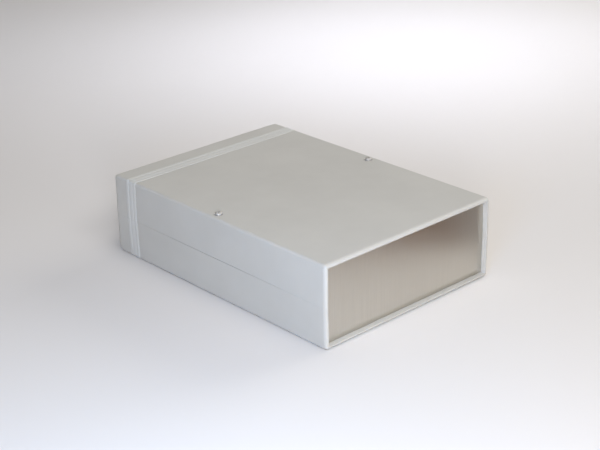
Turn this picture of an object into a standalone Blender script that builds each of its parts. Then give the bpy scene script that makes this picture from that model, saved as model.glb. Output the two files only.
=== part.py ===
"""Desktop instrument case: two moulded half shells, accent strips, metal end panels and screws.

Units are metres and +Z is up. The origin is the centre of the footprint on the table. The front
panel faces -Y, the accent strips lie near the rear, and the two halves meet at mid-height.
"""
import math

import bmesh
import bpy

# Outer body
WIDTH = 0.183
DEPTH = 0.260
HEIGHT = 0.070
WALL = 0.003
DRAFT = 0.0005
EDGE_RADIUS = 0.0025
EDGE_STEPS = 5
PARTING_Z = HEIGHT / 2
GAP = 0.0003

# End panels and the grooves that hold them
PANEL_THICKNESS = 0.0015
PANEL_RECESS = 0.0045
GROOVE_FLOOR = 0.0016
BACKING_RIB_THICKNESS = 0.002
BACKING_RIB_DEPTH = 0.006

# Accent strips: a U in each half, let into a channel near the rear
STRIP_FRONT_Y = 0.1005
STRIP_REAR_Y = 0.1130
STRIP_SIDE_GAP = 0.0002
STRIP_PROUD = 0.0005
STRIP_MIDDLE_PROUD = 0.00025
STRIP_RIDGE = 0.0022
STRIP_THICKNESS = 0.0017
CHANNEL_DEPTH = 0.0015
STRIP_GROUND_CLEARANCE = 0.0002

# Lip that locates the cover on the tray
LIP_THICKNESS = 0.0012
LIP_HEIGHT = 0.0017
LIP_SETBACK = 0.0002
LIP_LENGTH = 0.236
LIP_ROOT = 0.0015

# Screws, their pillars and the threaded inserts
SCREW_X = 0.084
SCREW_SIDES = {"left": -1, "right": 1}
SHANK_RADIUS = 0.00145
SHANK_LENGTH = 0.014
SHANK_TIP_CHAMFER = 0.0005
HEAD_RADIUS = 0.003
HEAD_HEIGHT = 0.0022
HEAD_RIM = 0.0008
RECESS_SPAN = 0.0032
RECESS_WIDTH = 0.0008
RECESS_DEPTH = 0.0012
COUNTERBORE_RADIUS = 0.0036
COUNTERBORE_DEPTH = 0.0008
SCREW_HOLE_RADIUS = 0.0017
PILLAR_RADIUS = 0.004
PILLAR_TOP_Z = HEIGHT - WALL - GAP
PILLAR_WEB = 0.003
GUSSET_REACH = 0.010
GUSSET_TOP_Z = 0.020
GUSSET_THICKNESS = 0.0016
INSERT_RADIUS = 0.0023
INSERT_LENGTH = 0.0057
INSERT_POCKET_RADIUS = INSERT_RADIUS + GAP
ROUND_STEPS = 24

# Moulded ribs and board standoffs inside each half
STANDOFF_RADIUS = 0.00325
STANDOFF_HOLE_RADIUS = 0.0013
STANDOFF_HEIGHT = 0.005
STANDOFF_HOLE_DEPTH = 0.0045
STANDOFF_X = 0.060
STANDOFF_YS = (-0.090, 0.0, 0.090)
FLOOR_RIB_YS = (-0.045, 0.045)
FLOOR_RIB_LENGTH = 0.160
FLOOR_RIB_HEIGHT = 0.0015
RIB_THICKNESS = 0.0012
WALL_RIB_DEPTH = 0.002
WALL_RIB_YS = (-0.0765, -0.0735, -0.035, 0.035, 0.0735, 0.0765)
WALL_RIB_STOP = 0.003
ROOT = 0.0008

# Colours as linear red, green and blue
SHELL_GREY = (0.50, 0.50, 0.48)
STRIP_GREY = (0.58, 0.60, 0.60)
PANEL_ALUMINIUM = (0.62, 0.57, 0.52)
SCREW_STEEL = (0.56, 0.56, 0.54)
INSERT_BRASS = (0.68, 0.50, 0.22)


def clear_scene():
    for item in list(bpy.data.objects):
        bpy.data.objects.remove(item, do_unlink=True)


def make_material(name, colour, roughness, metallic):
    material = bpy.data.materials.new(name)
    material.use_nodes = True
    shader = material.node_tree.nodes["Principled BSDF"]
    shader.inputs["Base Color"].default_value = (*colour, 1.0)
    shader.inputs["Roughness"].default_value = roughness
    shader.inputs["Metallic"].default_value = metallic
    return material


def add_object(name, bm, location=(0.0, 0.0, 0.0)):
    """Turn a bmesh into a linked object with smooth round faces and sharp corners."""
    bmesh.ops.remove_doubles(bm, verts=bm.verts, dist=1e-7)
    bmesh.ops.recalc_face_normals(bm, faces=bm.faces)
    mesh = bpy.data.meshes.new(name)
    bm.to_mesh(mesh)
    bm.free()
    mesh.shade_smooth()
    mesh.set_sharp_from_angle(angle=math.radians(35))
    item = bpy.data.objects.new(name, mesh)
    item.location = location
    bpy.context.scene.collection.objects.link(item)
    return item


def add_tool(name, bm):
    """Make a body that only shapes other bodies."""
    item = add_object(name, bm)
    item.hide_render = True
    item.display_type = "WIRE"
    return item


def apply_tool(target, tool, operation):
    modifier = target.modifiers.new(tool.name, "BOOLEAN")
    modifier.operation = operation
    modifier.solver = "EXACT"
    modifier.object = tool


def paint(item, colour, roughness, metallic):
    item.data.materials.append(make_material(item.name, colour, roughness, metallic))


def add_box(bm, low, high):
    corners = bmesh.ops.create_cube(bm, size=1.0)["verts"]
    for corner in corners:
        for axis in range(3):
            corner.co[axis] = high[axis] if corner.co[axis] > 0 else low[axis]


def add_turned(bm, x, y, outline):
    """Turn an outline of (radius, z) points, both ends on the axis, about a vertical axis."""
    rings = []
    for radius, z in outline:
        if radius == 0:
            rings.append([bm.verts.new((x, y, z))])
            continue
        ring = []
        for step in range(ROUND_STEPS):
            angle = 2 * math.pi * step / ROUND_STEPS
            ring.append(bm.verts.new((x + radius * math.cos(angle), y + radius * math.sin(angle), z)))
        rings.append(ring)
    for lower, upper in zip(rings, rings[1:]):
        for step in range(ROUND_STEPS):
            follow = (step + 1) % ROUND_STEPS
            corners = [lower[step % len(lower)], lower[follow % len(lower)],
                       upper[follow % len(upper)], upper[step % len(upper)]]
            bm.faces.new(list(dict.fromkeys(corners)))


def add_cylinder(bm, x, y, radius, low_z, high_z):
    add_turned(bm, x, y, [(0, low_z), (radius, low_z), (radius, high_z), (0, high_z)])


def corner_point(depth, angle):
    """Point on the lower right corner, depth metres inside the outer surface."""
    radius = EDGE_RADIUS - depth
    if radius <= 0:
        return WIDTH / 2 - depth, depth
    centre_x = WIDTH / 2 - EDGE_RADIUS
    return centre_x + radius * math.cos(angle), EDGE_RADIUS - radius * math.sin(angle)


def lower_path(depth):
    """The U that a half shell follows, from the right parting edge round to the left one."""
    right = [(WIDTH / 2 + DRAFT - depth, PARTING_Z - GAP / 2)]
    for step in range(EDGE_STEPS + 1):
        right.append(corner_point(depth, math.radians(90) * step / EDGE_STEPS))
    left = [(-x, z) for x, z in reversed(right)]
    return right + left


def sweep_half(section, upper):
    """Carry a closed section of (y, depth) points round the U of the lower or the upper half."""
    bm = bmesh.new()
    columns = []
    for y, depth in section:
        path = lower_path(depth)
        if upper:
            path = [(x, HEIGHT - z) for x, z in path]
        columns.append([bm.verts.new((x, y, z)) for x, z in path])
    stations = len(columns[0])
    for column, following in zip(columns, columns[1:] + columns[:1]):
        for station in range(stations - 1):
            bm.faces.new((column[station], column[station + 1],
                          following[station + 1], following[station]))
    bm.faces.new([column[0] for column in columns])
    bm.faces.new([column[-1] for column in columns])
    return bm


def shell_section():
    """Side view of the shell wall: rounded ends, strip channel, panel grooves and backing ribs."""
    end_y = DEPTH / 2
    rear_arc = []
    for step in range(EDGE_STEPS + 1):
        angle = math.radians(90) * step / EDGE_STEPS
        rear_arc.append((end_y - EDGE_RADIUS + EDGE_RADIUS * math.sin(angle),
                         EDGE_RADIUS - EDGE_RADIUS * math.cos(angle)))
    front_arc = [(-y, depth) for y, depth in reversed(rear_arc)]
    channel = [(STRIP_FRONT_Y - STRIP_SIDE_GAP, 0), (STRIP_FRONT_Y - STRIP_SIDE_GAP, CHANNEL_DEPTH),
               (STRIP_REAR_Y + STRIP_SIDE_GAP, CHANNEL_DEPTH), (STRIP_REAR_Y + STRIP_SIDE_GAP, 0)]
    groove_outer_y = end_y - PANEL_RECESS + GAP
    groove_inner_y = end_y - PANEL_RECESS - PANEL_THICKNESS - GAP
    rib_inner_y = groove_inner_y - BACKING_RIB_THICKNESS
    rear_inside = [(end_y, WALL), (groove_outer_y, WALL), (groove_outer_y, GROOVE_FLOOR),
                   (groove_inner_y, GROOVE_FLOOR), (groove_inner_y, BACKING_RIB_DEPTH),
                   (rib_inner_y, BACKING_RIB_DEPTH), (rib_inner_y, WALL)]
    front_inside = [(-y, depth) for y, depth in reversed(rear_inside)]
    return front_arc + channel + rear_arc + rear_inside + front_inside


def strip_section():
    """Section of an accent strip: two raised edges and a shallow middle."""
    middle_front = STRIP_FRONT_Y + STRIP_RIDGE
    middle_rear = STRIP_REAR_Y - STRIP_RIDGE
    inside = STRIP_THICKNESS - STRIP_PROUD
    return [(STRIP_FRONT_Y, inside), (STRIP_FRONT_Y, -STRIP_PROUD), (middle_front, -STRIP_PROUD),
            (middle_front + STRIP_MIDDLE_PROUD, -STRIP_MIDDLE_PROUD),
            (middle_rear - STRIP_MIDDLE_PROUD, -STRIP_MIDDLE_PROUD),
            (middle_rear, -STRIP_PROUD), (STRIP_REAR_Y, -STRIP_PROUD), (STRIP_REAR_Y, inside)]


def half_z(z, upper):
    """Height z above the table in the tray, or the same height below the top in the cover."""
    return HEIGHT - z if upper else z


def add_half_box(bm, low, high, upper):
    ends = sorted((half_z(low[2], upper), half_z(high[2], upper)))
    add_box(bm, (low[0], low[1], ends[0]), (high[0], high[1], ends[1]))


def add_board_supports(bm, upper):
    """Standoffs, cross ribs and wall ribs, each rooted in the wall that it stands on."""
    root_z = WALL - ROOT
    for y in STANDOFF_YS:
        for x in (-STANDOFF_X, STANDOFF_X):
            ends = sorted((half_z(root_z, upper), half_z(WALL + STANDOFF_HEIGHT, upper)))
            add_cylinder(bm, x, y, STANDOFF_RADIUS, *ends)
    for y in FLOOR_RIB_YS:
        add_half_box(bm, (-FLOOR_RIB_LENGTH / 2, y - RIB_THICKNESS / 2, root_z),
                     (FLOOR_RIB_LENGTH / 2, y + RIB_THICKNESS / 2, WALL + FLOOR_RIB_HEIGHT), upper)
    inner_x = WIDTH / 2 - WALL
    for y in WALL_RIB_YS:
        for side in (-1, 1):
            span = sorted((side * (inner_x - WALL_RIB_DEPTH), side * (inner_x + DRAFT + ROOT)))
            add_half_box(bm, (span[0], y - RIB_THICKNESS / 2, root_z),
                         (span[1], y + RIB_THICKNESS / 2, PARTING_Z - WALL_RIB_STOP), upper)


def cut_standoff_holes(bm, upper):
    top_z = WALL + STANDOFF_HEIGHT
    for y in STANDOFF_YS:
        for x in (-STANDOFF_X, STANDOFF_X):
            ends = sorted((half_z(top_z + ROOT, upper), half_z(top_z - STANDOFF_HOLE_DEPTH, upper)))
            add_cylinder(bm, x, y, STANDOFF_HOLE_RADIUS, *ends)


def add_lips(bm, clearance):
    """The two upstanding lips, or with a clearance the rebates that they enter."""
    inner_x = WIDTH / 2 + DRAFT - WALL
    low_x = inner_x + LIP_SETBACK
    for side in (-1, 1):
        reach = low_x - clearance if clearance == 0 else inner_x - ROOT
        span = sorted((side * reach, side * (low_x + LIP_THICKNESS + clearance)))
        add_box(bm, (span[0], -LIP_LENGTH / 2 - clearance, PARTING_Z - LIP_ROOT),
                (span[1], LIP_LENGTH / 2 + clearance, PARTING_Z + LIP_HEIGHT + clearance))


def build_lower_shell():
    shell = add_object("lower_shell", sweep_half(shell_section(), upper=False))
    supports = bmesh.new()
    add_board_supports(supports, upper=False)
    add_lips(supports, clearance=0.0)
    for side in SCREW_SIDES.values():
        add_cylinder(supports, side * SCREW_X, 0, PILLAR_RADIUS, WALL - ROOT, PILLAR_TOP_Z)
    apply_tool(shell, add_tool("tool_tray_supports", supports), "UNION")
    webs = bmesh.new()
    for side in SCREW_SIDES.values():
        reach = sorted((side * (SCREW_X + PILLAR_RADIUS / 2), side * (WIDTH / 2 - WALL + DRAFT + ROOT)))
        add_box(webs, (reach[0], -PILLAR_WEB / 2, WALL - ROOT / 2),
                (reach[1], PILLAR_WEB / 2, PARTING_Z - WALL_RIB_STOP))
        for direction in (-1, 1):
            span = sorted((direction * PILLAR_RADIUS / 1.2, direction * (PILLAR_RADIUS + GUSSET_REACH)))
            middle = side * (SCREW_X - PILLAR_RADIUS / 4)
            add_box(webs, (middle - GUSSET_THICKNESS / 2, span[0], WALL - ROOT / 2),
                    (middle + GUSSET_THICKNESS / 2, span[1], GUSSET_TOP_Z))
    apply_tool(shell, add_tool("tool_pillar_webs", webs), "UNION")
    holes = bmesh.new()
    cut_standoff_holes(holes, upper=False)
    pocket_floor = PILLAR_TOP_Z - INSERT_LENGTH - 2 * GAP
    hole_floor = screw_seat_z() - SHANK_LENGTH - 2 * GAP
    for side in SCREW_SIDES.values():
        add_turned(holes, side * SCREW_X, 0,
                   [(0, hole_floor), (SCREW_HOLE_RADIUS, hole_floor), (SCREW_HOLE_RADIUS, pocket_floor),
                    (INSERT_POCKET_RADIUS, pocket_floor), (INSERT_POCKET_RADIUS, PILLAR_TOP_Z + ROOT),
                    (0, PILLAR_TOP_Z + ROOT)])
    apply_tool(shell, add_tool("tool_tray_holes", holes), "DIFFERENCE")
    paint(shell, SHELL_GREY, 0.55, 0.0)


def build_upper_shell():
    shell = add_object("upper_shell", sweep_half(shell_section(), upper=True))
    supports = bmesh.new()
    add_board_supports(supports, upper=True)
    apply_tool(shell, add_tool("tool_cover_supports", supports), "UNION")
    cuts = bmesh.new()
    cut_standoff_holes(cuts, upper=True)
    add_lips(cuts, clearance=GAP)
    seat_z = HEIGHT - COUNTERBORE_DEPTH
    for side in SCREW_SIDES.values():
        add_turned(cuts, side * SCREW_X, 0,
                   [(0, HEIGHT - WALL - ROOT), (SCREW_HOLE_RADIUS, HEIGHT - WALL - ROOT),
                    (SCREW_HOLE_RADIUS, seat_z), (COUNTERBORE_RADIUS, seat_z),
                    (COUNTERBORE_RADIUS, HEIGHT + ROOT), (0, HEIGHT + ROOT)])
    apply_tool(shell, add_tool("tool_cover_cuts", cuts), "DIFFERENCE")
    paint(shell, SHELL_GREY, 0.55, 0.0)


def build_strip(name, upper):
    bm = sweep_half(strip_section(), upper)
    for corner in bm.verts:
        corner.co.z = max(corner.co.z, STRIP_GROUND_CLEARANCE)
    paint(add_object(name, bm), STRIP_GREY, 0.45, 0.0)


def build_panel(name, side):
    """An aluminium end panel standing in the grooves; side is -1 at the front, 1 at the rear."""
    half_width = WIDTH / 2 - GROOVE_FLOOR - GAP
    low_z = GROOVE_FLOOR + GAP
    face_y = DEPTH / 2 - PANEL_RECESS
    bm = bmesh.new()
    add_box(bm, (-half_width, -PANEL_THICKNESS / 2, 0),
            (half_width, PANEL_THICKNESS / 2, HEIGHT - 2 * low_z))
    panel = add_object(name, bm, (0, side * (face_y - PANEL_THICKNESS / 2), low_z))
    paint(panel, PANEL_ALUMINIUM, 0.35, 1.0)


def screw_seat_z():
    return HEIGHT - COUNTERBORE_DEPTH + GAP


def build_screw(side_name, side):
    """A pan head screw whose origin is on its axis, under the head."""
    crown_flat = HEAD_RADIUS * 0.45
    outline = [(0, -SHANK_LENGTH), (SHANK_RADIUS - SHANK_TIP_CHAMFER, -SHANK_LENGTH),
               (SHANK_RADIUS, -SHANK_LENGTH + SHANK_TIP_CHAMFER), (SHANK_RADIUS, 0),
               (HEAD_RADIUS, 0), (HEAD_RADIUS, HEAD_RIM)]
    for step in range(1, EDGE_STEPS + 1):
        angle = math.radians(90) * step / EDGE_STEPS
        outline.append((crown_flat + (HEAD_RADIUS - crown_flat) * math.cos(angle),
                        HEAD_RIM + (HEAD_HEIGHT - HEAD_RIM) * math.sin(angle)))
    outline.append((0, HEAD_HEIGHT))
    bm = bmesh.new()
    add_turned(bm, 0, 0, outline)
    place = (side * SCREW_X, 0, screw_seat_z())
    screw = add_object(f"case_screw_{side_name}", bm, place)
    recess_floor = screw_seat_z() + HEAD_HEIGHT - RECESS_DEPTH
    recess_top = screw_seat_z() + HEAD_HEIGHT + ROOT
    for number, spans in enumerate(((RECESS_SPAN, RECESS_WIDTH), (RECESS_WIDTH, RECESS_SPAN))):
        slot = bmesh.new()
        add_box(slot, (place[0] - spans[0] / 2, -spans[1] / 2, recess_floor),
                (place[0] + spans[0] / 2, spans[1] / 2, recess_top))
        apply_tool(screw, add_tool(f"tool_recess_{side_name}_{number}", slot), "DIFFERENCE")
    paint(screw, SCREW_STEEL, 0.3, 1.0)


def build_insert(side_name, side):
    """A brass threaded insert, a plain ring in its pocket at the top of the pillar."""
    top_z = PILLAR_TOP_Z - GAP
    low_z = top_z - INSERT_LENGTH
    bm = bmesh.new()
    add_cylinder(bm, 0, 0, INSERT_RADIUS, 0, INSERT_LENGTH)
    insert = add_object(f"threaded_insert_{side_name}", bm, (side * SCREW_X, 0, low_z))
    hole = bmesh.new()
    add_cylinder(hole, side * SCREW_X, 0, SCREW_HOLE_RADIUS, low_z - ROOT, top_z + ROOT)
    apply_tool(insert, add_tool(f"tool_insert_hole_{side_name}", hole), "DIFFERENCE")
    paint(insert, INSERT_BRASS, 0.35, 1.0)


def main():
    clear_scene()
    build_lower_shell()
    build_upper_shell()
    build_strip("accent_strip_lower", upper=False)
    build_strip("accent_strip_upper", upper=True)
    build_panel("front_panel", -1)
    build_panel("rear_panel", 1)
    for side_name, side in SCREW_SIDES.items():
        build_screw(side_name, side)
        build_insert(side_name, side)


main()
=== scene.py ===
"""Looks of the plastic instrument case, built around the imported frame. Metres, +Z up."""
import math

import bmesh
import bpy
from mathutils import Matrix, Vector


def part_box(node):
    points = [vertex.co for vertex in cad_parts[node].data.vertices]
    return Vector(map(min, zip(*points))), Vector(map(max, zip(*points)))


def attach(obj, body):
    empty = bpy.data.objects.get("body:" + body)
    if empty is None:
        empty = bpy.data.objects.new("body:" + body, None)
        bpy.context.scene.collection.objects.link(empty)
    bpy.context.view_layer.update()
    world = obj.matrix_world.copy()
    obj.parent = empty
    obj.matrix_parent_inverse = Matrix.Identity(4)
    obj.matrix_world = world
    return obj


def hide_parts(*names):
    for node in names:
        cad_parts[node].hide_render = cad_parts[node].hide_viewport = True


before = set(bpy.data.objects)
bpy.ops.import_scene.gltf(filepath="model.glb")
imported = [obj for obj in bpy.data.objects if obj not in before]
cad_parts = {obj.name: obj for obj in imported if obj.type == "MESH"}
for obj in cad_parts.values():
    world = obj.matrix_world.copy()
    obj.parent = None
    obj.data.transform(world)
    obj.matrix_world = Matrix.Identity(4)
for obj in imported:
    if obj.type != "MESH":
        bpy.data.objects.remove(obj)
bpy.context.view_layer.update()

# ---------------------------------------------------------------- sizes read from the frame
_, TRAY_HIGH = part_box("lower_shell")
_, COVER_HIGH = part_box("upper_shell")
STRIP_LOW, STRIP_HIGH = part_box("accent_strip_upper")
LOWER_STRIP_LOW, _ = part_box("accent_strip_lower")
PANEL_LOW, PANEL_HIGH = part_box("front_panel")

# Outer shape of the two halves
DRAFT = 0.0005
HALF_WIDTH = TRAY_HIGH.x - DRAFT
END_Y = TRAY_HIGH.y
HEIGHT = COVER_HIGH.z
PARTING_Z = HEIGHT / 2
PARTING_GAP_MIDDLE = 0.0003
PARTING_GAP_END = 0.00003
PARTING_GAP_REACH = 0.09
WALL = 0.003
EDGE_RADIUS = 0.0025
END_RADIUS = 0.0024
END_LENGTH = 0.0036
INNER_RADIUS = 0.0006
PARTING_FILLET = 0.0001
CRISP_RADIUS = 0.00015
SOFT_RADIUS = 0.0003
SMALLEST_RADIUS = 0.00002

# Grooves for the panels, seen from the ends
PANEL_THICKNESS = PANEL_HIGH.y - PANEL_LOW.y
PANEL_RECESS = END_Y + PANEL_LOW.y
GROOVE_FLOOR = 0.0016
GROOVE_GAP = 0.0003
GROOVE_FIT = 0.00003
BACKING_RIB_THICKNESS = 0.002
BACKING_RIB_DEPTH = 0.006
BACKING_RIB_ROOT_RADIUS = 0.0004

# Accent strips
STRIP_FRONT_Y = STRIP_LOW.y
STRIP_REAR_Y = STRIP_HIGH.y
STRIP_SIDE_GAP = 0.0002
STRIP_EDGE_PROUD = 0.0001
STRIP_PROUD = 0.0003
STRIP_GROOVE_PROUD = 0.00003
STRIP_CENTRE_PROUD = 0.00028
STRIP_RIDGE = 0.0027
STRIP_EDGE_SLOPE = 0.0012
STRIP_SLOPE = 0.0008
STRIP_GROOVE = 0.0005
STRIP_FOOT_RADIUS = 0.0001
STRIP_EDGE_CURVE = 0.003
STRIP_RIDGE_CURVE = 0.002
STRIP_GROOVE_CURVE = 0.0011
STRIP_INSIDE = 0.0012
CHANNEL_DEPTH = 0.0015

# Lips, pillars, standoffs and ribs inside the halves
LIP_THICKNESS = 0.0012
LIP_HEIGHT = 0.0017
LIP_SETBACK = 0.0002
LIP_LENGTH = 0.236
LIP_ROOT = 0.0015
LIP_BEVEL = 0.0002
PILLAR_RADIUS = 0.004
PILLAR_TOP_Z = TRAY_HIGH.z
PILLAR_WEB = 0.003
GUSSET_START_RATIO = 1.2
GUSSET_REACH = 0.010
GUSSET_TOP_Z = 0.020
GUSSET_TIP = 0.001
GUSSET_THICKNESS = 0.0016
SCREW_HOLE_RADIUS = 0.0017
INSERT_POCKET_RADIUS = 0.0026
COUNTERBORE_RADIUS = 0.0034
COUNTERBORE_DEPTH = 0.0008
COUNTERBORE_LEAD = 0.00025
STANDOFF_RADIUS = 0.00325
STANDOFF_HOLE_RADIUS = 0.0013
STANDOFF_HEIGHT = 0.005
STANDOFF_HOLE_DEPTH = 0.0045
STANDOFF_HOLE_LEAD = 0.0003
STANDOFF_X = 0.060
STANDOFF_YS = (-0.090, 0.0, 0.090)
FLOOR_RIB_YS = (-0.045, 0.045)
FLOOR_RIB_LENGTH = 0.160
FLOOR_RIB_HEIGHT = 0.0015
RIB_THICKNESS = 0.0012
WALL_RIB_DEPTH = 0.002
WALL_RIB_YS = (-0.0765, -0.0735, -0.035, 0.035, 0.0735, 0.0765)
WALL_RIB_STOP = 0.003
RIB_BEVEL = 0.00025
RIM = 0.0003
ROOT = 0.0008

# Sheet panels
PANEL_CORNER_RADIUS = 0.0012
PANEL_EDGE_BREAK = 0.00015
PANEL_ARC_STEPS = 4

# Screws: head, cross recess and thread
HEAD_STEPS = 64
HEAD_ARC_STEPS = 9
HEAD_RIM_HEIGHT = 0.0008
HEAD_CROWN_SHARE = 0.45
HEAD_SIDE_GAP = 0.00005
HEAD_TOP_GAP = 0.00002
HEAD_UNDER_INSET = 0.0002
HEAD_UNDER_RISE = 0.0002
STUB_LENGTH = 0.002
STUB_INSET = 0.00025
RECESS_HALF_SPAN = 0.0015
RECESS_HALF_WIDTH = 0.0003
RECESS_DEPTH = 0.0009
RECESS_OVERSHOOT = 0.0004
RECESS_SPAN_TAPER = 0.45
RECESS_WIDTH_TAPER = 0.8
SHANK_RADIUS = 0.00143
THREAD_PITCH = 0.0005
THREAD_RIDGE = 0.00028
THREAD_STEPS = 32
THREAD_LEVELS_PER_TURN = 8
THREAD_TOP_GAP = 0.0004
THREAD_TIP_LENGTH = 0.0008
THREAD_TIP_SHARE = 0.72
THREAD_TIP_GROWTH = 0.28

# Brass inserts: (share of the length, share of the radius, 1 where knurled)
INSERT_PROFILE = ((0.0, 0.90, 0), (0.06, 0.97, 1), (0.40, 0.97, 1), (0.43, 0.88, 0),
                  (0.57, 0.88, 0), (0.60, 0.97, 1), (0.94, 0.97, 1), (1.0, 0.92, 0))
INSERT_TEETH = 24
TOOTH_STEPS = 4
TOOTH_TOP_STEPS = (1, 2)
TOOTH_HEIGHT = 0.0001
INSERT_BORE_RADIUS = 0.0017
INSERT_SHARP_DEGREES = 30

# How finely curves are divided
LONG_RUN = 0.05
RUN_PARTS = 12
BIG_ARC_STEPS = 10
BIG_ARC_RADIUS = 0.001
SMALL_ARC_STEPS = 3
WALL_STATIONS = (0.75, 0.5, 0.3)
ROUND_STEPS = 48
ROUNDING_SLACK = 0.0001
DOUBLES_DISTANCE = 1e-7
QUARTER_SIGNS = ((1, 1), (-1, 1), (-1, -1), (1, -1))
SHARP_DEGREES = 40
NORMAL_WEIGHT = 90

# Looks of the materials: noise scales per metre, bump depths in metres, roughness from and to,
# and shades as shares of the main colour
SHELL_COLOUR = (0.485, 0.462, 0.418)
SHELL_ROUGHNESS = 0.5
SHELL_GRAIN = 0.5
STRIP_COLOUR = (0.545, 0.53, 0.492)
STRIP_ROUGHNESS = 0.34
STRIP_GRAIN = 0.25
PLASTIC_IOR = 1.5
PLASTIC_DARK_SHADE = 0.975
PLASTIC_LIGHT_SHADE = 1.015
PLASTIC_GLOSS_BELOW = 0.05
PLASTIC_GLOSS_ABOVE = 0.06
PLASTIC_MOTTLE_SCALE = 22
PLASTIC_GLOSS_SCALE = 60
PLASTIC_GRAIN_SCALE = 2600
PLASTIC_GRAIN_DEPTH = 0.00003
PLASTIC_WAVE_SCALE = 35
PLASTIC_WAVE_DEPTH = 0.0002
PLASTIC_WAVE_STRENGTH = 0.08
PANEL_COLOUR = (0.635, 0.60, 0.535)
PANEL_ROUGHNESS = (0.30, 0.38)
PANEL_STREAK_SHADE = 0.94
PANEL_STREAK_SCALES = (900, 900, 22)
PANEL_GRAIN_SCALES = (2200, 2200, 60)
PANEL_GRAIN_DEPTH = 0.00001
PANEL_GRAIN_STRENGTH = 0.3
PANEL_STAIN_SHADE = 0.95
PANEL_STAIN_SCALE = 18
STEEL_COLOUR = (0.5, 0.475, 0.44)
STEEL_METALLIC = 0.5
STEEL_ROUGHNESS = (0.58, 0.7)
STEEL_STAIN_SHADE = 0.9
STEEL_STAIN_SCALE = 900
STEEL_GLOSS_SCALE = 1500
BRASS_COLOUR = (0.72, 0.52, 0.24)
BRASS_ROUGHNESS = (0.24, 0.4)
BRASS_TARNISH_SHADE = 0.75
BRASS_TARNISH_SCALE = 700
BRASS_TURNING_SCALES = (1, 1, 9000)
NOISE_LOW, NOISE_HIGH = 0.3, 0.7
RAMP_START, RAMP_END = 0.35, 0.65

# Camera, where the photograph was taken from
CAMERA_PLACE = Vector((-0.7208, -0.7982, 0.5040))
CAMERA_AZIMUTH = math.radians(-42.185)
CAMERA_ELEVATION = math.radians(23.593)
CAMERA_ROLL = math.radians(-1.318)
CAMERA_LENS = 84.15
CAMERA_SENSOR = 36.0
CAMERA_CLIP_START = 0.01
CAMERA_CLIP_END = 50

# Floor, and the glow of the surroundings
FLOOR_COLOUR = (0.69, 0.655, 0.625)
FLOOR_HALF = 6.0
FLOOR_ROUGHNESS = 0.9
FLOOR_SPECULAR = 0.2
WORLD_COLOUR = (0.25, 0.25, 0.25)
GLOW_DIRECTION = (0.6, 0.7, 0.35)
GLOW_STRENGTH = 2.0
GLOW_START, GLOW_FULL = 0.4, 1.0

# Painted reflection: cards that only reflections see, dark patches for the bare panel to mirror
CARD_Z = 0.0005
CARD_CORNER = (0.1222, -0.1776)
CARD_ALONG = (-0.786, -0.618)
CARD_AWAY = (0.671, -0.741)
CARD_REACH = 0.6
# Colours of the painted reflection that the panel shows
PAINTED_REFLECTION_BROWN = (0.15, 0.07, 0.035)
PAINTED_REFLECTION_GREY = (0.34, 0.32, 0.31)

# Lights: name, place, aim, size, power, colour and, where it is narrow, spread in degrees
LIGHT_AIM = (0, 0, 0.03)
OPEN_SPREAD = 180
LIGHTS = [
    ("top_light", (0.1, -0.2, 1.3), LIGHT_AIM, 0.5, 2.25, (1.0, 0.95, 0.86)),
    ("high_front_light", (-0.1, -0.9, 1.0), LIGHT_AIM, 0.4, 2.7, (1.0, 1.0, 1.0)),
    ("front_light", (-0.2, -0.95, 0.3), LIGHT_AIM, 0.2, 0.5, (1.0, 0.98, 0.96)),
    ("near_light", (-0.35, -0.6, 0.6), LIGHT_AIM, 0.2, 1.1, (1.0, 1.0, 1.0)),
    ("low_light", (-0.6, -0.75, 0.25), LIGHT_AIM, 0.2, 4.7, (1.0, 0.97, 0.98)),
    ("left_light", (-0.5, -0.42, 0.25), LIGHT_AIM, 0.2, 1.9, (0.28, 0.55, 1.0)),
    ("right_light", (1.9, -0.2, 0.9), LIGHT_AIM, 1.4, 20.0, (1.0, 1.0, 0.98)),
    ("rear_left_light", (-0.9, 1.3, 1.2), LIGHT_AIM, 0.8, 1.0, (0.9, 0.92, 1.0)),
    ("rear_floor_light", (0.52, 0.38, 0.9), (0.52, 0.38, 0), 0.5, 0.9, (0.93, 0.99, 1.18), 60),
    ("left_floor_light", (0.15, 0.77, 1.0), (0.15, 0.77, 0), 0.4, 0.12, (0.85, 1.0, 1.3), 60),
]


# ---------------------------------------------------------------- mesh helpers
def new_object(name, bm):
    bmesh.ops.remove_doubles(bm, verts=bm.verts, dist=DOUBLES_DISTANCE)
    bmesh.ops.recalc_face_normals(bm, faces=bm.faces)
    mesh = bpy.data.meshes.new(name)
    bm.to_mesh(mesh)
    bm.free()
    item = bpy.data.objects.new(name, mesh)
    bpy.context.scene.collection.objects.link(item)
    return item


def combine(target, tool_bm, operation):
    """Join or cut target with the bodies in tool_bm, and keep the result as plain mesh."""
    tool = new_object("tool", tool_bm)
    modifier = target.modifiers.new("combine", "BOOLEAN")
    modifier.operation = operation
    modifier.solver = "EXACT"
    modifier.object = tool
    graph = bpy.context.evaluated_depsgraph_get()
    result = bpy.data.meshes.new_from_object(target.evaluated_get(graph))
    target.modifiers.clear()
    old = target.data
    target.data = result
    result.name = target.name
    bpy.data.meshes.remove(old)
    bpy.data.objects.remove(tool)


def finish_piece(item, material, body, replaced, sharp_degrees=SHARP_DEGREES):
    item.data.materials.clear()
    item.data.materials.append(material)
    item.data.shade_smooth()
    item.data.set_sharp_from_angle(angle=math.radians(sharp_degrees))
    weighted = item.modifiers.new("weighted_normals", "WEIGHTED_NORMAL")
    weighted.keep_sharp = True
    weighted.weight = NORMAL_WEIGHT
    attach(item, body)
    if replaced:
        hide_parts(replaced)


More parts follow.
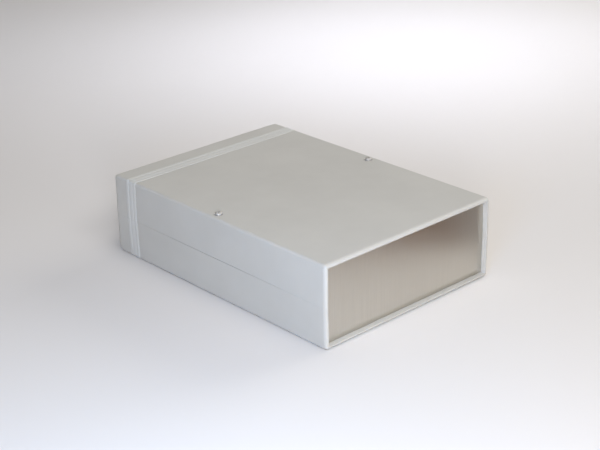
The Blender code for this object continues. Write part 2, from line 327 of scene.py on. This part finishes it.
def add_box(bm, low, high, bevel=0.0):
    corners = bmesh.ops.create_cube(bm, size=1.0)["verts"]
    for corner in corners:
        for axis in range(3):
            corner.co[axis] = high[axis] if corner.co[axis] > 0 else low[axis]
    if bevel:
        edges = list(dict.fromkeys(edge for corner in corners for edge in corner.link_edges))
        bmesh.ops.bevel(bm, geom=edges, offset=bevel, segments=2, profile=0.5, affect="EDGES")


def add_ring(bm, x, y, z, radii):
    """A level ring of points about a vertical axis, one for each radius."""
    ring = []
    for step, radius in enumerate(radii):
        angle = 2 * math.pi * step / len(radii)
        ring.append(bm.verts.new((x + radius * math.cos(angle), y + radius * math.sin(angle), z)))
    return ring


def add_skin(bm, rows):
    """Faces between rows of points; a row of one point closes to a tip."""
    for row, following in zip(rows, rows[1:]):
        count = max(len(row), len(following))
        for index in range(count):
            after = (index + 1) % count
            corners = [row[index % len(row)], row[after % len(row)],
                       following[after % len(following)], following[index % len(following)]]
            bm.faces.new(list(dict.fromkeys(corners)))


def add_closed_skin(bm, rows):
    """Faces between rows of points, and a flat cap at either end."""
    add_skin(bm, rows)
    bm.faces.new(rows[0])
    bm.faces.new(rows[-1])


def add_turned(bm, x, y, outline, steps=ROUND_STEPS):
    """Turn an outline of (radius, z) points, both ends on the axis, about a vertical axis."""
    rings = []
    for radius, z in outline:
        if radius == 0:
            rings.append([bm.verts.new((x, y, z))])
        else:
            rings.append(add_ring(bm, x, y, z, [radius] * steps))
    add_skin(bm, rings)


def stretch_end_edges(outline):
    """Lengthen the outer end rounding along the case, from END_RADIUS to END_LENGTH."""
    stretched = []
    for point in outline:
        from_end = END_Y - abs(point.x)
        if point.y < END_RADIUS and from_end < END_RADIUS + ROUNDING_SLACK:
            share = min(1.0, from_end / END_RADIUS)
            from_end += share * (END_LENGTH - END_RADIUS) * max(0.0, 1 - point.y / END_RADIUS)
            point = Vector((math.copysign(END_Y - from_end, point.x), point.y))
        stretched.append(point)
    return stretched


def fillet_outline(corners):
    """Closed outline from (y, depth, radius) corners, each rounded to its radius."""
    outline = []
    count = len(corners)
    for index, (y, depth, radius) in enumerate(corners):
        here = Vector((y, depth))
        if radius == 0:
            outline.append(here)
            continue
        to_last = (Vector(corners[index - 1][:2]) - here).normalized()
        to_next = (Vector(corners[(index + 1) % count][:2]) - here).normalized()
        half_angle = to_last.angle(to_next) / 2
        start = here + to_last * (radius / math.tan(half_angle))
        centre = here + (to_last + to_next).normalized() * (radius / math.sin(half_angle))
        sweep = math.pi - 2 * half_angle
        turn = to_last.x * to_next.y - to_last.y * to_next.x
        steps = BIG_ARC_STEPS if radius > BIG_ARC_RADIUS else SMALL_ARC_STEPS
        spoke = start - centre
        for step in range(steps + 1):
            angle = -math.copysign(sweep * step / steps, turn)
            outline.append(centre + Vector((spoke.x * math.cos(angle) - spoke.y * math.sin(angle),
                                            spoke.x * math.sin(angle) + spoke.y * math.cos(angle))))
    return outline


def shrink_corners(corners, amount):
    """The same corners with every side moved inwards by amount and the radii kept in step."""
    count = len(corners)
    area = sum(corners[i][0] * corners[(i + 1) % count][1]
               - corners[(i + 1) % count][0] * corners[i][1] for i in range(count))
    inward = math.copysign(1, area)
    moved = []
    for index, (y, depth, radius) in enumerate(corners):
        here = Vector((y, depth))
        before = (here - Vector(corners[index - 1][:2])).normalized()
        after = (Vector(corners[(index + 1) % count][:2]) - here).normalized()
        normal_before = Vector((-before.y, before.x)) * inward
        normal_after = Vector((-after.y, after.x)) * inward
        place = here + (normal_before + normal_after) * (amount / (1 + normal_before.dot(normal_after)))
        convex = (before.x * after.y - before.y * after.x) * inward > 0
        new_radius = radius - amount if convex else radius + amount
        moved.append((place.x, place.y, max(new_radius, SMALLEST_RADIUS)))
    return moved


def corner_point(depth, angle):
    """Point on the lower right corner, depth metres inside the outer surface."""
    radius = max(EDGE_RADIUS - depth, INNER_RADIUS)
    return (HALF_WIDTH - depth - radius + radius * math.cos(angle),
            depth + radius - radius * math.sin(angle))


def wall_point(depth, z):
    lean = DRAFT * (z - EDGE_RADIUS) / (PARTING_Z - EDGE_RADIUS)
    return HALF_WIDTH + lean - depth, z


def parting_gap(y):
    """The halves meet closely at the ends and part slightly between them."""
    share = max(0.0, 1 - (y / PARTING_GAP_REACH) ** 2)
    return PARTING_GAP_END + (PARTING_GAP_MIDDLE - PARTING_GAP_END) * share


def split_runs(outline):
    """Add points along the long straight runs, so that they can follow the parting gap."""
    split = []
    for here, following in zip(outline, outline[1:] + outline[:1]):
        split.append(here)
        if (following - here).length > LONG_RUN:
            split += [here.lerp(following, part / RUN_PARTS) for part in range(1, RUN_PARTS)]
    return split


def half_path():
    """Stations along the U of a half: (kind, value, inset), the inset rounding the parting edge."""
    right = []
    for step in range(SMALL_ARC_STEPS + 1):
        angle = math.radians(90) * step / SMALL_ARC_STEPS
        right.append(("parting", PARTING_Z - PARTING_FILLET * (1 - math.cos(angle)),
                      PARTING_FILLET * (1 - math.sin(angle))))
    for share in WALL_STATIONS:
        right.append(("wall", PARTING_Z * share, 0.0))
    for step in range(BIG_ARC_STEPS + 1):
        right.append(("corner", math.radians(90) * step / BIG_ARC_STEPS, 0.0))
    return right


def sweep_half(corners, upper, lowest=None):
    """Carry a rounded section round the U of the lower or the upper half."""
    right = half_path()
    stations = [(1, *station) for station in right] + [(-1, *station) for station in reversed(right)]
    bm = bmesh.new()
    rows = []
    for side, kind, value, inset in stations:
        section = split_runs(stretch_end_edges(fillet_outline(shrink_corners(corners, inset))))
        row = []
        for y, depth in section:
            if kind == "corner":
                x, z = corner_point(depth, value)
            else:
                x, z = wall_point(depth, value - parting_gap(y) / 2 if kind == "parting" else value)
            if lowest is not None:
                z = max(z, lowest)
            row.append(bm.verts.new((side * x, y, HEIGHT - z if upper else z)))
        rows.append(row)
    add_closed_skin(bm, rows)
    return bm


# ---------------------------------------------------------------- shells
def shell_corners():
    """Side view of the shell wall as (y, depth, radius) corners, from the front round the outside."""
    groove_outer_y = END_Y - PANEL_RECESS + GROOVE_FIT
    groove_inner_y = END_Y - PANEL_RECESS - PANEL_THICKNESS - GROOVE_GAP
    rib_inner_y = groove_inner_y - BACKING_RIB_THICKNESS
    channel_front = STRIP_FRONT_Y - STRIP_SIDE_GAP
    channel_rear = STRIP_REAR_Y + STRIP_SIDE_GAP
    outside = [(-END_Y, 0, END_RADIUS),
               (channel_front, 0, CRISP_RADIUS), (channel_front, CHANNEL_DEPTH, CRISP_RADIUS),
               (channel_rear, CHANNEL_DEPTH, CRISP_RADIUS), (channel_rear, 0, CRISP_RADIUS),
               (END_Y, 0, END_RADIUS)]
    rear_inside = [(END_Y, WALL, SOFT_RADIUS), (groove_outer_y, WALL, CRISP_RADIUS),
                   (groove_outer_y, GROOVE_FLOOR, CRISP_RADIUS),
                   (groove_inner_y, GROOVE_FLOOR, CRISP_RADIUS),
                   (groove_inner_y, BACKING_RIB_DEPTH, SOFT_RADIUS),
                   (rib_inner_y, BACKING_RIB_DEPTH, SOFT_RADIUS),
                   (rib_inner_y, WALL, BACKING_RIB_ROOT_RADIUS)]
    front_inside = [(-y, depth, radius) for y, depth, radius in reversed(rear_inside)]
    return outside + rear_inside + front_inside


def half_z(z, upper):
    return HEIGHT - z if upper else z


def add_half_box(bm, low, high, upper, bevel):
    ends = sorted((half_z(low[2], upper), half_z(high[2], upper)))
    add_box(bm, (low[0], low[1], ends[0]), (high[0], high[1], ends[1]), bevel)


def add_board_supports(bm, upper):
    """Standoffs with rounded rims, cross ribs and wall ribs, each rooted in its wall."""
    root_z = WALL - ROOT
    top_z = WALL + STANDOFF_HEIGHT
    for y in STANDOFF_YS:
        for x in (-STANDOFF_X, STANDOFF_X):
            outline = [(0, root_z), (STANDOFF_RADIUS + RIM, root_z),
                       (STANDOFF_RADIUS + RIM, WALL + RIM / 3), (STANDOFF_RADIUS + RIM / 4, WALL + RIM),
                       (STANDOFF_RADIUS, WALL + 2 * RIM), (STANDOFF_RADIUS - RIM / 4, top_z - RIM),
                       (STANDOFF_RADIUS - RIM, top_z), (0, top_z)]
            add_turned(bm, x, y, [(radius, half_z(z, upper)) for radius, z in outline])
    for y in FLOOR_RIB_YS:
        add_half_box(bm, (-FLOOR_RIB_LENGTH / 2, y - RIB_THICKNESS / 2, root_z),
                     (FLOOR_RIB_LENGTH / 2, y + RIB_THICKNESS / 2, WALL + FLOOR_RIB_HEIGHT),
                     upper, RIB_BEVEL)
    inner_x = HALF_WIDTH - WALL
    for y in WALL_RIB_YS:
        for side in (-1, 1):
            span = sorted((side * (inner_x - WALL_RIB_DEPTH), side * (inner_x + DRAFT + ROOT)))
            add_half_box(bm, (span[0], y - RIB_THICKNESS / 2, root_z),
                         (span[1], y + RIB_THICKNESS / 2, PARTING_Z - WALL_RIB_STOP),
                         upper, RIB_BEVEL)


def add_standoff_holes(bm, upper):
    top_z = WALL + STANDOFF_HEIGHT
    floor_z = top_z - STANDOFF_HOLE_DEPTH
    mouth_radius = STANDOFF_HOLE_RADIUS + STANDOFF_HOLE_LEAD
    for y in STANDOFF_YS:
        for x in (-STANDOFF_X, STANDOFF_X):
            outline = [(0, floor_z), (STANDOFF_HOLE_RADIUS, floor_z),
                       (STANDOFF_HOLE_RADIUS, top_z - STANDOFF_HOLE_LEAD), (mouth_radius, top_z),
                       (mouth_radius, top_z + ROOT), (0, top_z + ROOT)]
            add_turned(bm, x, y, [(radius, half_z(z, upper)) for radius, z in outline])


def add_lips(bm, clearance):
    """The two upstanding lips, or with a clearance the rebates that they enter."""
    inner_x = HALF_WIDTH + DRAFT - WALL
    low_x = inner_x + LIP_SETBACK
    for side in (-1, 1):
        reach = low_x if clearance == 0 else inner_x - ROOT
        span = sorted((side * reach, side * (low_x + LIP_THICKNESS + clearance)))
        add_box(bm, (span[0], -LIP_LENGTH / 2 - clearance, PARTING_Z - LIP_ROOT),
                (span[1], LIP_LENGTH / 2 + clearance, PARTING_Z + LIP_HEIGHT + clearance),
                LIP_BEVEL if clearance == 0 else 0.0)


def screw_x(side_name):
    low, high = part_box(f"case_screw_{side_name}")
    return (low.x + high.x) / 2


def add_gusset(bm, x, direction):
    """A triangular web from the pillar down to the tray floor."""
    near = direction * PILLAR_RADIUS / GUSSET_START_RATIO
    far = direction * (PILLAR_RADIUS + GUSSET_REACH)
    low_z = WALL - ROOT / 2
    profile = [(near, low_z), (far, low_z), (far, WALL + GUSSET_TIP),
               (near + direction * GUSSET_TIP, GUSSET_TOP_Z), (near, GUSSET_TOP_Z)]
    faces = []
    for offset in (-GUSSET_THICKNESS / 2, GUSSET_THICKNESS / 2):
        faces.append([bm.verts.new((x + offset, y, z)) for y, z in profile])
    bm.faces.new(faces[0])
    bm.faces.new(list(reversed(faces[1])))
    for index in range(len(profile)):
        after = (index + 1) % len(profile)
        bm.faces.new((faces[0][index], faces[1][index], faces[1][after], faces[0][after]))


def build_tray(material):
    shell = new_object("tray_moulding", sweep_half(shell_corners(), upper=False))
    supports = bmesh.new()
    add_board_supports(supports, upper=False)
    add_lips(supports, 0.0)
    for side_name in ("left", "right"):
        add_turned(supports, screw_x(side_name), 0,
                   [(0, WALL - ROOT), (PILLAR_RADIUS, WALL - ROOT), (PILLAR_RADIUS, PILLAR_TOP_Z - RIM),
                    (PILLAR_RADIUS - RIM, PILLAR_TOP_Z), (0, PILLAR_TOP_Z)])
    combine(shell, supports, "UNION")
    webs = bmesh.new()
    for side_name in ("left", "right"):
        centre = screw_x(side_name)
        side = math.copysign(1, centre)
        reach = sorted((centre + side * PILLAR_RADIUS / 2,
                        side * (HALF_WIDTH - WALL + DRAFT + ROOT)))
        add_box(webs, (reach[0], -PILLAR_WEB / 2, WALL - ROOT / 2),
                (reach[1], PILLAR_WEB / 2, PARTING_Z - WALL_RIB_STOP), RIB_BEVEL)
        for direction in (-1, 1):
            add_gusset(webs, centre - side * PILLAR_RADIUS / 4, direction)
    combine(shell, webs, "UNION")
    holes = bmesh.new()
    add_standoff_holes(holes, upper=False)
    insert_low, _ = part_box("threaded_insert_left")
    screw_low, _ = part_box("case_screw_left")
    pocket_z = insert_low.z - GROOVE_GAP
    floor_z = screw_low.z - GROOVE_GAP
    for side_name in ("left", "right"):
        add_turned(holes, screw_x(side_name), 0,
                   [(0, floor_z), (SCREW_HOLE_RADIUS, floor_z), (SCREW_HOLE_RADIUS, pocket_z),
                    (INSERT_POCKET_RADIUS, pocket_z), (INSERT_POCKET_RADIUS, PILLAR_TOP_Z + ROOT),
                    (0, PILLAR_TOP_Z + ROOT)])
    combine(shell, holes, "DIFFERENCE")
    finish_piece(shell, material, "base", "lower_shell")


def build_cover(material):
    shell = new_object("cover_moulding", sweep_half(shell_corners(), upper=True))
    supports = bmesh.new()
    add_board_supports(supports, upper=True)
    combine(shell, supports, "UNION")
    cuts = bmesh.new()
    add_standoff_holes(cuts, upper=True)
    add_lips(cuts, GROOVE_GAP)
    seat_z = HEIGHT - COUNTERBORE_DEPTH
    mouth_radius = COUNTERBORE_RADIUS + COUNTERBORE_LEAD
    for side_name in ("left", "right"):
        add_turned(cuts, screw_x(side_name), 0,
                   [(0, HEIGHT - WALL - ROOT), (SCREW_HOLE_RADIUS, HEIGHT - WALL - ROOT),
                    (SCREW_HOLE_RADIUS, seat_z), (COUNTERBORE_RADIUS, seat_z),
                    (COUNTERBORE_RADIUS, HEIGHT - COUNTERBORE_LEAD), (mouth_radius, HEIGHT),
                    (mouth_radius, HEIGHT + ROOT), (0, HEIGHT + ROOT)])
    combine(shell, cuts, "DIFFERENCE")
    finish_piece(shell, material, "cover", "upper_shell")


def strip_corners():
    """Section of an accent strip: two rounded ridges, and a broad crown between them."""
    ridge_end = STRIP_FRONT_Y + STRIP_RIDGE
    groove_start = ridge_end + STRIP_SLOPE
    groove_end = groove_start + STRIP_GROOVE
    crown_start = groove_end + STRIP_SLOPE
    front = [(STRIP_FRONT_Y, STRIP_INSIDE, STRIP_FOOT_RADIUS),
             (STRIP_FRONT_Y, -STRIP_EDGE_PROUD, CRISP_RADIUS),
             (STRIP_FRONT_Y + STRIP_EDGE_SLOPE, -STRIP_PROUD, STRIP_EDGE_CURVE),
             (ridge_end, -STRIP_PROUD, STRIP_RIDGE_CURVE),
             (groove_start, -STRIP_GROOVE_PROUD, STRIP_GROOVE_CURVE),
             (groove_end, -STRIP_GROOVE_PROUD, STRIP_GROOVE_CURVE),
             (crown_start, -STRIP_CENTRE_PROUD, STRIP_RIDGE_CURVE)]
    return front + [(STRIP_FRONT_Y + STRIP_REAR_Y - y, depth, radius)
                    for y, depth, radius in reversed(front)]


def build_strips(material):
    ground = LOWER_STRIP_LOW.z
    lower = new_object("strip_moulding_lower", sweep_half(strip_corners(), upper=False, lowest=ground))
    finish_piece(lower, material, "base", "accent_strip_lower")
    upper = new_object("strip_moulding_upper", sweep_half(strip_corners(), upper=True))
    finish_piece(upper, material, "cover", "accent_strip_upper")


# ---------------------------------------------------------------- panels
def build_panel(node, body, material):
    """Sheet panel with small corner radii and a broken edge all round."""
    low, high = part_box(node)
    bm = bmesh.new()
    centre = (low + high) / 2
    size = high - low
    rings = []
    for y, inset in ((low.y, PANEL_EDGE_BREAK), (low.y + PANEL_EDGE_BREAK, 0),
                     (high.y - PANEL_EDGE_BREAK, 0), (high.y, PANEL_EDGE_BREAK)):
        reach = PANEL_CORNER_RADIUS - inset
        ring = []
        for quarter, (sign_x, sign_z) in enumerate(QUARTER_SIGNS):
            for step in range(PANEL_ARC_STEPS + 1):
                angle = math.radians(90) * (quarter + step / PANEL_ARC_STEPS)
                x = centre.x + sign_x * (size.x / 2 - PANEL_CORNER_RADIUS) + reach * math.cos(angle)
                z = centre.z + sign_z * (size.z / 2 - PANEL_CORNER_RADIUS) + reach * math.sin(angle)
                ring.append(bm.verts.new((x, y, z)))
        rings.append(ring)
    add_closed_skin(bm, rings)
    finish_piece(new_object(f"{node}_sheet", bm), material, body, node)


# ---------------------------------------------------------------- screws and inserts
def build_screw(side_name, material):
    """Pan head cross recess screw with a helical thread."""
    node = f"case_screw_{side_name}"
    low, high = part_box(node)
    centre_x = (low.x + high.x) / 2
    head_radius = (high.x - low.x) / 2
    stub_radius = SHANK_RADIUS - STUB_INSET
    side_radius = head_radius - HEAD_SIDE_GAP
    seat_z = HEIGHT - COUNTERBORE_DEPTH + GROOVE_GAP
    rim_z = seat_z + HEAD_RIM_HEIGHT
    crown_height = high.z - seat_z - HEAD_RIM_HEIGHT - HEAD_TOP_GAP
    crown_flat = head_radius * HEAD_CROWN_SHARE
    outline = [(0, seat_z - STUB_LENGTH), (stub_radius, seat_z - STUB_LENGTH), (stub_radius, seat_z),
               (head_radius - HEAD_UNDER_INSET, seat_z), (side_radius, seat_z + HEAD_UNDER_RISE),
               (side_radius, rim_z)]
    for step in range(1, HEAD_ARC_STEPS + 1):
        angle = math.radians(90) * step / HEAD_ARC_STEPS
        outline.append((crown_flat + (side_radius - crown_flat) * math.cos(angle),
                        rim_z + crown_height * math.sin(angle)))
    outline.append((0, high.z - HEAD_TOP_GAP))
    bm = bmesh.new()
    add_turned(bm, centre_x, 0, outline, HEAD_STEPS)
    head = new_object(f"screw_head_{side_name}", bm)
    for turn in (0, 1):
        slot = bmesh.new()
        add_recess_wing(slot, centre_x, high.z, turn)
        combine(head, slot, "DIFFERENCE")
    finish_piece(head, material, f"screw_{side_name}", node)
    thread_bm = thread_mesh(centre_x, low.z, seat_z - THREAD_TOP_GAP)
    thread = new_object(f"screw_thread_{side_name}", thread_bm)
    finish_piece(thread, material, f"screw_{side_name}", None)


def add_recess_wing(bm, x, top_z, turn):
    """One tapering wing of the cross recess."""
    floor = []
    mouth = []
    for along, across in QUARTER_SIGNS:
        wide = (along * RECESS_HALF_SPAN, across * RECESS_HALF_WIDTH)
        narrow = (wide[0] * RECESS_SPAN_TAPER, wide[1] * RECESS_WIDTH_TAPER)
        if turn:
            wide = (wide[1], wide[0])
            narrow = (narrow[1], narrow[0])
        mouth.append(bm.verts.new((x + wide[0], wide[1], top_z + RECESS_OVERSHOOT)))
        floor.append(bm.verts.new((x + narrow[0], narrow[1], top_z - RECESS_DEPTH)))
    bm.faces.new(mouth)
    bm.faces.new(list(reversed(floor)))
    for index in range(4):
        after = (index + 1) % 4
        bm.faces.new((mouth[index], floor[index], floor[after], mouth[after]))


def thread_mesh(x, low_z, high_z):
    """A closed rod whose radius follows the thread, narrower at its tip."""
    rows = []
    bm = bmesh.new()
    levels = int((high_z - low_z) / (THREAD_PITCH / THREAD_LEVELS_PER_TURN))
    for level in range(levels + 1):
        z = low_z + (high_z - low_z) * level / levels
        from_tip = (z - low_z) / THREAD_TIP_LENGTH
        taper = min(1.0, THREAD_TIP_SHARE + THREAD_TIP_GROWTH * from_tip)
        radii = []
        for step in range(THREAD_STEPS):
            phase = (z / THREAD_PITCH - step / THREAD_STEPS) % 1.0
            height = 1 - abs(2 * phase - 1)
            radii.append((SHANK_RADIUS - THREAD_RIDGE * (1 - height)) * taper)
        rows.append(add_ring(bm, x, 0, z, radii))
    add_closed_skin(bm, rows)
    return bm


def build_insert(side_name, material):
    """Brass insert: a ring with two knurled bands and a plain waist."""
    node = f"threaded_insert_{side_name}"
    low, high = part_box(node)
    centre_x = (low.x + high.x) / 2
    outer = (high.x - low.x) / 2
    length = high.z - low.z
    around = INSERT_TEETH * TOOTH_STEPS
    bm = bmesh.new()
    rows = []
    for share, scale, knurled in INSERT_PROFILE:
        radii = []
        for step in range(around):
            tooth = TOOTH_HEIGHT * knurled * (1 if step % TOOTH_STEPS in TOOTH_TOP_STEPS else -1)
            radii.append(min(outer * scale + tooth, outer))
        rows.append(add_ring(bm, centre_x, 0, low.z + length * share, radii))
    for z in (low.z + length, low.z):
        rows.append(add_ring(bm, centre_x, 0, z, [INSERT_BORE_RADIUS] * around))
    add_skin(bm, rows + rows[:1])
    finish_piece(new_object(f"insert_ring_{side_name}", bm), material, "base", node,
                 INSERT_SHARP_DEGREES)


# ---------------------------------------------------------------- materials
def node_material(name):
    material = bpy.data.materials.new(name)
    material.use_nodes = True
    tree = material.node_tree
    shader = tree.nodes["Principled BSDF"]
    return material, tree, shader


def shaded(colour, share):
    return tuple(channel * share for channel in colour)


def plain_material(name, colour, roughness, specular):
    material, _, shader = node_material(name)
    shader.inputs["Base Color"].default_value = (*colour, 1)
    shader.inputs["Roughness"].default_value = roughness
    shader.inputs["Specular IOR Level"].default_value = specular
    return material


def noise(tree, scale, detail, stretch=(1, 1, 1)):
    """Noise over the piece's own coordinates, which stay with it when it moves."""
    place = tree.nodes.new("ShaderNodeTexCoord")
    mapping = tree.nodes.new("ShaderNodeMapping")
    mapping.inputs["Scale"].default_value = stretch
    texture = tree.nodes.new("ShaderNodeTexNoise")
    texture.inputs["Scale"].default_value = scale
    texture.inputs["Detail"].default_value = detail
    tree.links.new(place.outputs["Object"], mapping.inputs["Vector"])
    tree.links.new(mapping.outputs["Vector"], texture.inputs["Vector"])
    return texture.outputs["Fac"]


def ramp(tree, factor, low, high):
    """Two colours or two greys along a factor."""
    node = tree.nodes.new("ShaderNodeValToRGB")
    node.color_ramp.elements[0].position = RAMP_START
    node.color_ramp.elements[1].position = RAMP_END
    node.color_ramp.elements[0].color = (*low, 1)
    node.color_ramp.elements[1].color = (*high, 1)
    tree.links.new(factor, node.inputs["Fac"])
    return node.outputs["Color"]


def grey_range(tree, factor, low, high):
    """The usual spread of a noise, mapped to the range from low to high."""
    node = tree.nodes.new("ShaderNodeMapRange")
    node.inputs["From Min"].default_value = NOISE_LOW
    node.inputs["From Max"].default_value = NOISE_HIGH
    node.inputs["To Min"].default_value = low
    node.inputs["To Max"].default_value = high
    tree.links.new(factor, node.inputs["Value"])
    return node.outputs["Result"]


def bump(tree, height, distance, strength, normal=None):
    node = tree.nodes.new("ShaderNodeBump")
    node.inputs["Distance"].default_value = distance
    node.inputs["Strength"].default_value = strength
    tree.links.new(height, node.inputs["Height"])
    if normal is not None:
        tree.links.new(normal, node.inputs["Normal"])
    return node.outputs["Normal"]


def moulded_plastic(name, colour, roughness, grain):
    """Moulded ABS: fine spark-eroded grain, faint mottling and slightly uneven gloss."""
    material, tree, shader = node_material(name)
    mottling = ramp(tree, noise(tree, PLASTIC_MOTTLE_SCALE, 3),
                    shaded(colour, PLASTIC_DARK_SHADE), shaded(colour, PLASTIC_LIGHT_SHADE))
    tree.links.new(mottling, shader.inputs["Base Color"])
    gloss = grey_range(tree, noise(tree, PLASTIC_GLOSS_SCALE, 4),
                       roughness - PLASTIC_GLOSS_BELOW, roughness + PLASTIC_GLOSS_ABOVE)
    tree.links.new(gloss, shader.inputs["Roughness"])
    shader.inputs["IOR"].default_value = PLASTIC_IOR
    fine = bump(tree, noise(tree, PLASTIC_GRAIN_SCALE, 2), PLASTIC_GRAIN_DEPTH, grain)
    broad = bump(tree, noise(tree, PLASTIC_WAVE_SCALE, 1), PLASTIC_WAVE_DEPTH,
                 PLASTIC_WAVE_STRENGTH, fine)
    tree.links.new(broad, shader.inputs["Normal"])
    return material


def sheet_aluminium(name, colour):
    """Bare rolled sheet: upright grain, soft handling stains and uneven gloss."""
    material, tree, shader = node_material(name)
    shader.inputs["Metallic"].default_value = 1.0
    clean = ramp(tree, noise(tree, 1, 3, PANEL_STREAK_SCALES),
                 shaded(colour, PANEL_STREAK_SHADE), colour)
    blend = tree.nodes.new("ShaderNodeMix")
    blend.data_type = "RGBA"
    stains = noise(tree, PANEL_STAIN_SCALE, 4)
    tree.links.new(grey_range(tree, stains, 0.0, 1.0), blend.inputs["Factor"])
    tree.links.new(clean, blend.inputs["A"])
    blend.inputs["B"].default_value = (*shaded(colour, PANEL_STAIN_SHADE), 1)
    tree.links.new(blend.outputs["Result"], shader.inputs["Base Color"])
    grain = noise(tree, 1, 3, PANEL_GRAIN_SCALES)
    tree.links.new(grey_range(tree, grain, *PANEL_ROUGHNESS), shader.inputs["Roughness"])
    tree.links.new(bump(tree, grain, PANEL_GRAIN_DEPTH, PANEL_GRAIN_STRENGTH),
                   shader.inputs["Normal"])
    return material


def plated_steel(name, colour):
    """Dull passivated plating."""
    material, tree, shader = node_material(name)
    shader.inputs["Metallic"].default_value = STEEL_METALLIC
    stains = ramp(tree, noise(tree, STEEL_STAIN_SCALE, 3), shaded(colour, STEEL_STAIN_SHADE), colour)
    tree.links.new(stains, shader.inputs["Base Color"])
    gloss = grey_range(tree, noise(tree, STEEL_GLOSS_SCALE, 2), *STEEL_ROUGHNESS)
    tree.links.new(gloss, shader.inputs["Roughness"])
    return material


def turned_brass(name, colour):
    """Turned brass with fine rings and uneven tarnish."""
    material, tree, shader = node_material(name)
    shader.inputs["Metallic"].default_value = 1.0
    tarnish = ramp(tree, noise(tree, BRASS_TARNISH_SCALE, 3),
                   shaded(colour, BRASS_TARNISH_SHADE), colour)
    tree.links.new(tarnish, shader.inputs["Base Color"])
    rings = grey_range(tree, noise(tree, 1, 2, BRASS_TURNING_SCALES), *BRASS_ROUGHNESS)
    tree.links.new(rings, shader.inputs["Roughness"])
    return material


# ---------------------------------------------------------------- camera, light and floor
def build_camera():
    back = Vector((math.sin(CAMERA_AZIMUTH) * math.cos(CAMERA_ELEVATION),
                   -math.cos(CAMERA_AZIMUTH) * math.cos(CAMERA_ELEVATION),
                   math.sin(CAMERA_ELEVATION)))
    data = bpy.data.cameras.new("camera")
    data.lens = CAMERA_LENS
    data.sensor_width = CAMERA_SENSOR
    data.clip_start = CAMERA_CLIP_START
    data.clip_end = CAMERA_CLIP_END
    camera = bpy.data.objects.new("camera", data)
    turn = (-back).to_track_quat("-Z", "Y").to_matrix().to_4x4()
    camera.matrix_world = Matrix.Translation(CAMERA_PLACE) @ turn @ Matrix.Rotation(CAMERA_ROLL, 4, "Z")
    bpy.context.scene.collection.objects.link(camera)
    bpy.context.scene.camera = camera


def build_floor():
    bm = bmesh.new()
    bmesh.ops.create_grid(bm, x_segments=1, y_segments=1, size=FLOOR_HALF)
    floor = new_object("floor", bm)
    floor.data.materials.append(plain_material("floor_paper", FLOOR_COLOUR, FLOOR_ROUGHNESS,
                                               FLOOR_SPECULAR))


def build_card(name, corners, colour):
    """Painted reflection: a flat card seen only in reflections, a dark patch for what the bare panel
    mirrors beyond the paper.
    """
    bm = bmesh.new()
    bm.faces.new([bm.verts.new((x, y, CARD_Z)) for x, y in corners])
    card = new_object(name, bm)
    card.data.materials.append(plain_material(f"{name}_look", colour, 1.0, 0.0))
    card.visible_camera = False
    card.visible_diffuse = False
    card.visible_shadow = False
    card.visible_transmission = False


def build_light(name, place, aim, size, power, colour, spread=OPEN_SPREAD):
    data = bpy.data.lights.new(name, "AREA")
    data.shape = "DISK"
    data.size = size
    data.energy = power
    data.color = colour
    data.spread = math.radians(spread)
    light = bpy.data.objects.new(name, data)
    turn = (Vector(aim) - Vector(place)).to_track_quat("-Z", "Y").to_matrix().to_4x4()
    light.matrix_world = Matrix.Translation(place) @ turn
    bpy.context.scene.collection.objects.link(light)
    light.visible_camera = False


def build_cards():
    """Painted reflection: a brown card and a grey one, meeting at a corner, put where the panel mirrors
    the table beyond the paper.
    """
    corner = Vector(CARD_CORNER)
    along = Vector(CARD_ALONG) * CARD_REACH
    away = Vector(CARD_AWAY) * CARD_REACH
    build_card("painted_reflection_brown_card", [corner, corner + along, corner + along + away, corner + away],
               PAINTED_REFLECTION_BROWN)
    build_card("painted_reflection_grey_card", [corner, corner + away, corner + away - along, corner - along],
               PAINTED_REFLECTION_GREY)


def build_world():
    """An even surround that brightens smoothly towards GLOW_DIRECTION."""
    world = bpy.data.worlds.new("studio")
    world.use_nodes = True
    tree = world.node_tree
    background = tree.nodes["Background"]
    background.inputs["Color"].default_value = (*WORLD_COLOUR, 1)
    direction = tree.nodes.new("ShaderNodeTexCoord")
    towards = tree.nodes.new("ShaderNodeVectorMath")
    towards.operation = "DOT_PRODUCT"
    towards.inputs[1].default_value = Vector(GLOW_DIRECTION).normalized()
    tree.links.new(direction.outputs["Generated"], towards.inputs[0])
    spread = tree.nodes.new("ShaderNodeMapRange")
    spread.interpolation_type = "SMOOTHSTEP"
    spread.inputs["From Min"].default_value = GLOW_START
    spread.inputs["From Max"].default_value = GLOW_FULL
    spread.inputs["To Min"].default_value = 1.0
    spread.inputs["To Max"].default_value = GLOW_STRENGTH
    tree.links.new(towards.outputs["Value"], spread.inputs["Value"])
    tree.links.new(spread.outputs["Result"], background.inputs["Strength"])
    bpy.context.scene.world = world


def main():
    bpy.context.scene.view_settings.view_transform = "Standard"
    build_camera()
    build_floor()
    build_cards()
    build_world()
    for light in LIGHTS:
        build_light(*light)
    shell_plastic = moulded_plastic("shell_plastic_look", SHELL_COLOUR, SHELL_ROUGHNESS, SHELL_GRAIN)
    strip_plastic = moulded_plastic("strip_plastic_look", STRIP_COLOUR, STRIP_ROUGHNESS, STRIP_GRAIN)
    aluminium = sheet_aluminium("panel_metal_look", PANEL_COLOUR)
    steel = plated_steel("screw_metal_look", STEEL_COLOUR)
    brass = turned_brass("insert_brass_look", BRASS_COLOUR)
    build_tray(shell_plastic)
    build_cover(shell_plastic)
    build_strips(strip_plastic)
    build_panel("front_panel", "panel_front", aluminium)
    build_panel("rear_panel", "panel_rear", aluminium)
    for side_name in ("left", "right"):
        build_screw(side_name, steel)
        build_insert(side_name, brass)


main()
